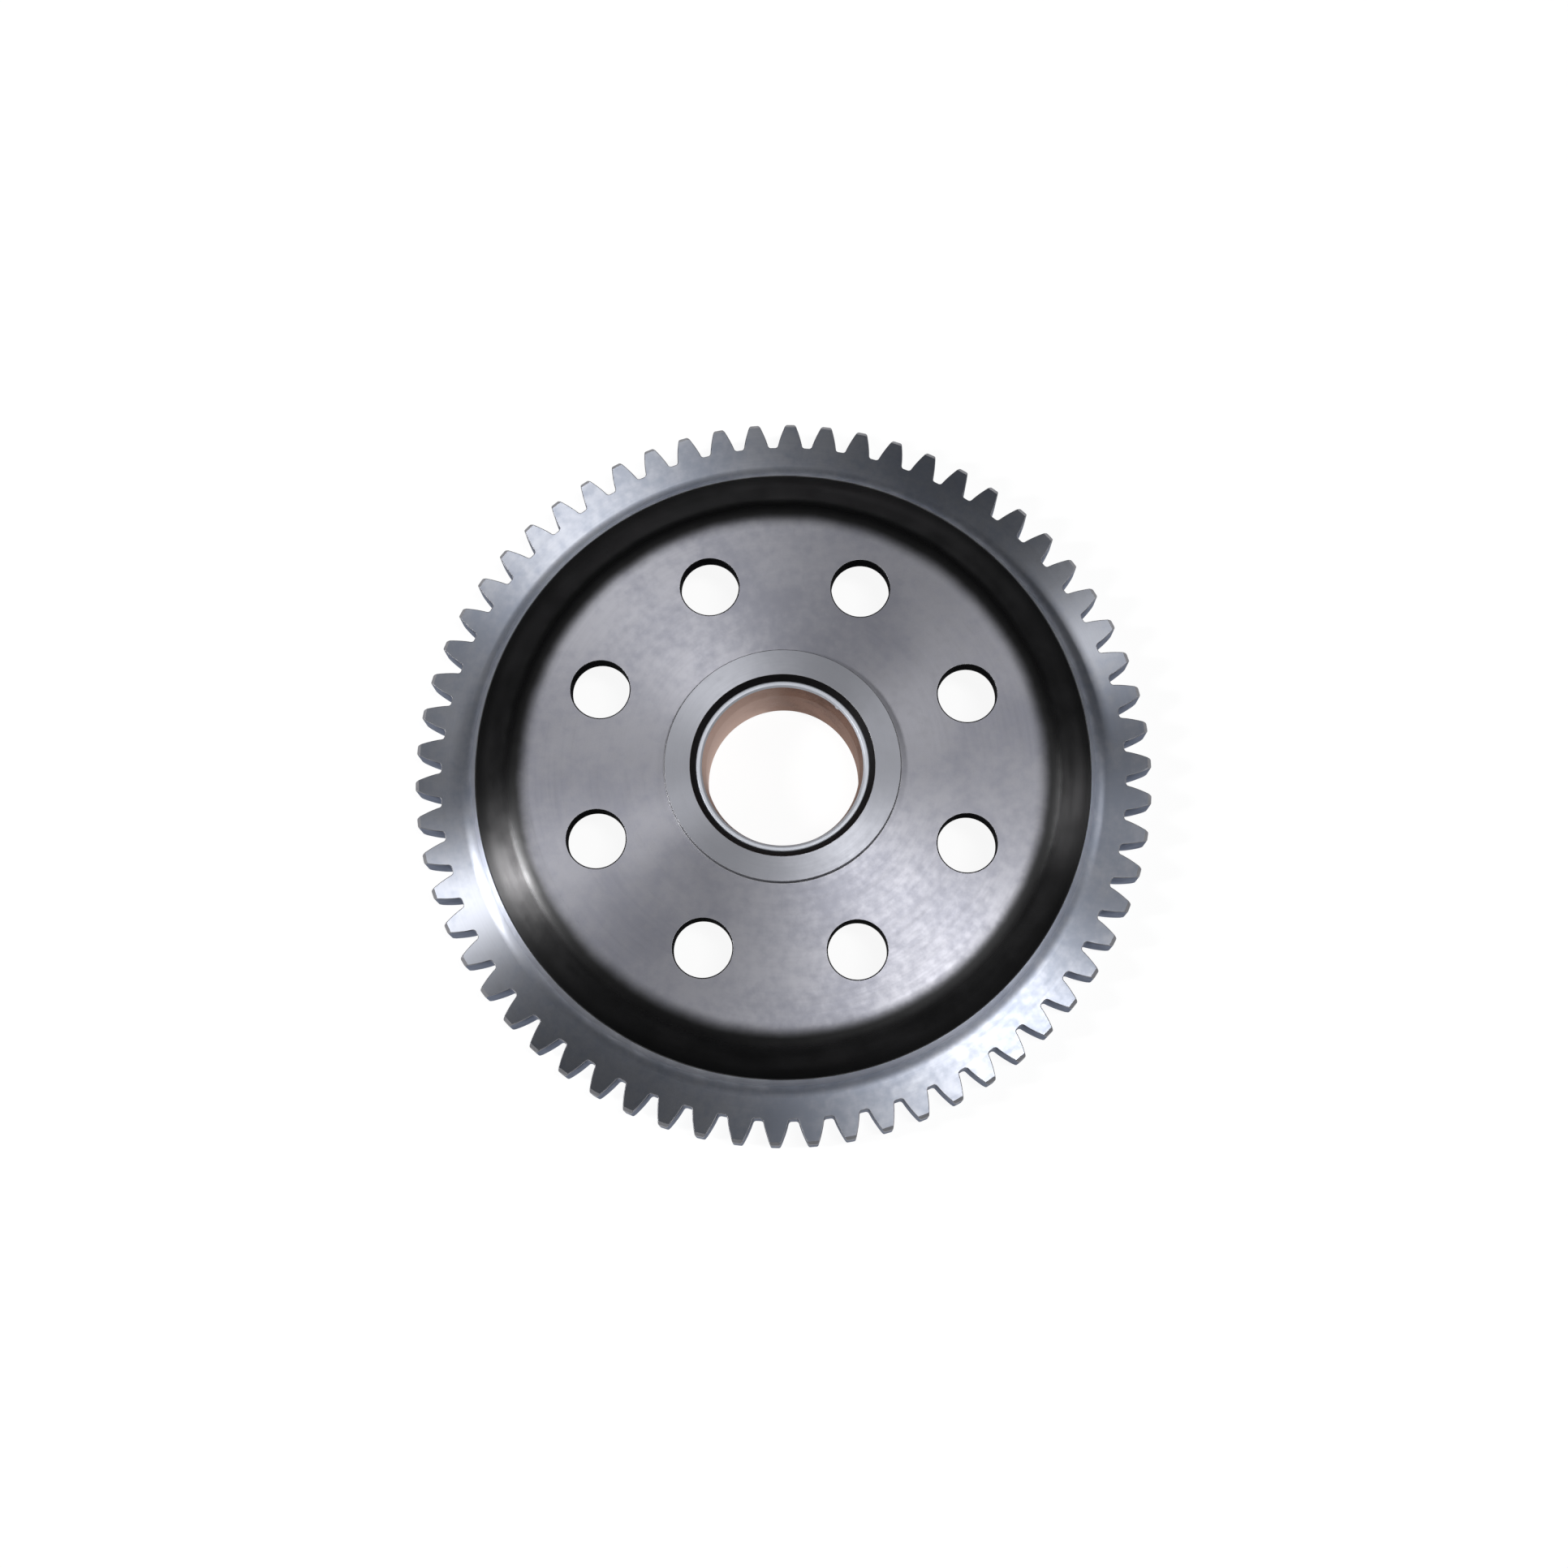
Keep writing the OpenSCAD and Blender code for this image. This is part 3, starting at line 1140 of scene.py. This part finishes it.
    def _tips(self, loop: Sequence, side: float) -> list:
        """Chamfer faces on the tips, cut off from the flat face by an arc.

        Args:
            loop: Vertices of the whole outline.
            side: 1.0 on the front, -1.0 on the back.

        Returns:
            The boundary loop of the flat face that is left.
        """
        edge_r = self.teeth.chamfer_r
        radii = [vertex.co.xy.length / MM for vertex in loop]
        count = len(loop)
        start = next(i for i in range(count) if radii[i] <= edge_r and radii[i - 1] <= edge_r)
        boundary, tip = [], []
        for step in range(count + 1):
            index = (start + step) % count
            vertex = loop[index]
            if radii[index] > edge_r:
                tip.append(vertex)
                continue
            if tip:
                last = boundary[-1]
                arc = self._chord(last, vertex)
                self._chamfer([last, *tip, vertex, *reversed(arc)], side)
                boundary += arc
                tip = []
            if step < count:
                boundary.append(vertex)
        return boundary

    def _chord(self, first: bmesh.types.BMVert, second: bmesh.types.BMVert) -> list:
        """Vertices between two vertices of the outline, on the arc at their own radius."""
        a, b = first.co / MM, second.co / MM
        points = []
        for part in CHORD_PARTS:
            flat = a.xy.lerp(b.xy, part).normalized() * a.xy.length
            points.append(Vector((flat.x, flat.y, a.z)))
        return self.shell.loop(points)

    def _chamfer(self, vertices: Sequence, side: float) -> None:
        """Adds one tip's chamfer as a single face with the cone's normals."""
        corners = []
        for vertex in vertices:
            out = Vector((vertex.co.x, vertex.co.y, 0.0)).normalized()
            corners.append((vertex, (out + Vector((0.0, 0.0, side))).normalized()))
        self.shell.face(corners, Surface.EDGE)


@dataclass
class Bush:
    """Steel-backed bronze bush in the gear's bore, in millimetres."""

    outer_r: float = 14.85
    bore_r: float = 13.2
    bottom_z: float = 0.5
    top_z: float = 16.4
    ring_r: float = 14.15
    ring_drop: float = 0.35
    tail_bevel: float = 0.5
    lining: float = 0.58
    lead_in: float = 3.6
    rim_rounding: float = 0.3
    ring_rounding: float = 0.4
    lining_rounding: float = 0.08
    lead_rounding: float = 4.0
    tail_rounding: float = 0.1
    columns: int = 360

    def build(self) -> bpy.types.Object:
        """Builds the piece.

        Returns:
            The bush as one object.
        """
        shell = Shell((Surface.BUSH_STEEL, Surface.BUSH_BRONZE))
        lining_z = self.top_z - self.ring_drop
        lining_r, bevel = self.bore_r + self.lining, self.tail_bevel
        steel, bronze = shell.slots
        corners = (
            Corner(self.bore_r + bevel, self.bottom_z, 0.0, steel),
            Corner(self.outer_r, self.bottom_z, 0.0, steel),
            Corner(self.outer_r, self.top_z, self.rim_rounding, steel),
            Corner(self.ring_r, self.top_z, self.ring_rounding, steel),
            Corner(lining_r, lining_z, self.lining_rounding, bronze),
            Corner(self.bore_r, lining_z - self.lead_in, self.lead_rounding, bronze),
            Corner(self.bore_r, self.bottom_z + bevel, self.tail_rounding, bronze),
        )
        Lathe(shell, self.columns).turn(turned_spans(corners, True))
        return shell.piece("bush_finished")


@dataclass(frozen=True)
class Softbox:
    """Soft lamp that looks at the gear.

    Attributes:
        name: Name of the lamp.
        azimuth: Direction of the lamp about the gear, in degrees from +X.
        elevation: Height of the lamp above the floor, in degrees.
        distance: Distance from the gear in metres.
        size: Width and height in metres.
        power: Power in watts.
    """

    name: str
    azimuth: float
    elevation: float
    distance: float
    size: tuple
    power: float

    def build(self) -> None:
        """Adds the lamp."""
        data = bpy.data.lights.new(self.name, "AREA")
        data.shape = "RECTANGLE"
        data.size, data.size_y = self.size
        data.energy = self.power
        lamp = bpy.data.objects.new(self.name, data)
        a, e = math.radians(self.azimuth), math.radians(self.elevation)
        way = Vector((math.cos(a) * math.cos(e), math.sin(a) * math.cos(e), math.sin(e)))
        place = way * self.distance
        lamp.location = place
        lamp.rotation_euler = (-place).to_track_quat("-Z", "Y").to_euler()
        bpy.context.scene.collection.objects.link(lamp)


@dataclass
class Studio:
    """Floor, world, lamps and camera."""

    floor_size: float = 6.0
    floor_tints: tuple = ((0.86, 0.86, 0.87), (0.9, 0.9, 0.9))
    floor_roughness: float = 0.9
    floor_glow: float = 0.82
    glow_strength: float = 1.12
    lamps: tuple = (
        Softbox("key_softbox", 343.0, 77.0, 1.2, (0.14, 0.34), 4.0),
        Softbox("side_softbox", 188.0, 44.0, 1.2, (0.16, 0.26), 6.2),
        Softbox("fill_softbox", 7.0, 42.0, 1.2, (0.24, 0.24), 1.0),
    )
    room_tint: tuple = (0.93, 0.96, 1.0, 1.0)
    room_low: float = 0.042
    room_high: float = 0.04
    room_rise: tuple = (0.2, 0.95)
    horizon: tuple = (0.03, 0.07)
    horizon_level: float = 0.95
    camera_place: tuple = (5.90, -86.91, 434.08)
    camera_aim: tuple = (0.19, -1.69, 8.9)
    camera_roll: float = 3.13
    lens: float = 57.37
    sensor: float = 36.0
    clip_start: float = 0.01

    def build(self) -> None:
        """Builds everything around the object."""
        self._floor()
        self._world()
        for lamp in self.lamps:
            lamp.build()
        self._camera()
        bpy.context.scene.view_settings.view_transform = "Standard"

    def _floor(self) -> None:
        """Pale floor that shows white to the camera and keeps the object's shadow."""
        bm = bmesh.new()
        bmesh.ops.create_grid(bm, x_segments=1, y_segments=1, size=self.floor_size / 2)
        mesh = bpy.data.meshes.new("floor")
        bm.to_mesh(mesh)
        bm.free()
        floor = bpy.data.objects.new("floor", mesh)
        material = bpy.data.materials.new("pale_floor")
        graph = Graph(material)
        speckle = graph.noise(graph.object_mm(), 0.02, 2.0)
        look = {
            "Base Color": graph.mix(speckle, *self.floor_tints),
            "Roughness": self.floor_roughness,
        }
        matte = graph.node("ShaderNodeBsdfPrincipled", None, look)
        glow = graph.node("ShaderNodeEmission", None, {"Strength": self.glow_strength})
        shown = graph.background_ray() * self.floor_glow
        both = {0: shown, 1: matte.outputs[0], 2: glow.outputs[0]}
        graph.output(graph.node("ShaderNodeMixShader", None, both).outputs[0])
        mesh.materials.append(material)
        bpy.context.scene.collection.objects.link(floor)

    def _world(self) -> None:
        """Dim room light, and a pale horizon that only the background's rays see."""
        world = bpy.data.worlds.new("studio_room")
        bpy.context.scene.world = world
        graph = Graph(world)
        direction = graph.node("ShaderNodeTexCoord").outputs["Generated"]
        _, _, height = graph.parts(direction)
        rise = self.room_high - self.room_low
        room = graph.ramp(height, *self.room_rise) * rise + self.room_low
        pale = (1.0 - graph.ramp(height, *self.horizon)) * graph.background_ray()
        level = pale * (self.horizon_level - self.room_low) + room
        look = {"Color": self.room_tint, "Strength": level}
        light = graph.node("ShaderNodeBackground", None, look)
        graph.output(light.outputs[0], "ShaderNodeOutputWorld")

    def _camera(self) -> None:
        """Camera at the photograph's viewing angle."""
        data = bpy.data.cameras.new("camera")
        data.sensor_width = self.sensor
        data.lens = self.lens
        data.clip_start = self.clip_start
        camera = bpy.data.objects.new("camera", data)
        place = Vector(self.camera_place) * MM
        aim = Vector(self.camera_aim) * MM
        level = (aim - place).to_track_quat("-Z", "Y").to_matrix()
        roll = Matrix.Rotation(math.radians(-self.camera_roll), 3, "Z")
        camera.matrix_world = Matrix.Translation(place) @ (level @ roll).to_4x4()
        bpy.context.scene.collection.objects.link(camera)
        bpy.context.scene.camera = camera


def dress(piece: bpy.types.Object, node: str) -> None:
    """Puts a finished piece in place of its CAD node.

    Args:
        piece: The finished mesh.
        node: CAD node that it replaces.
    """
    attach(piece, "root")
    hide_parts(node)
    LOG.info("%s stands for %s with %d faces", piece.name, node, len(piece.data.polygons))


def main() -> None:
    """Builds the gear, the bush and the studio."""
    logging.basicConfig(level=logging.INFO, format="%(message)s")
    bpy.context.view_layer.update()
    dress(Gear().build(), "gear")
    dress(Bush().build(), "bush")
    Studio().build()


if __name__ == "__main__":
    main()
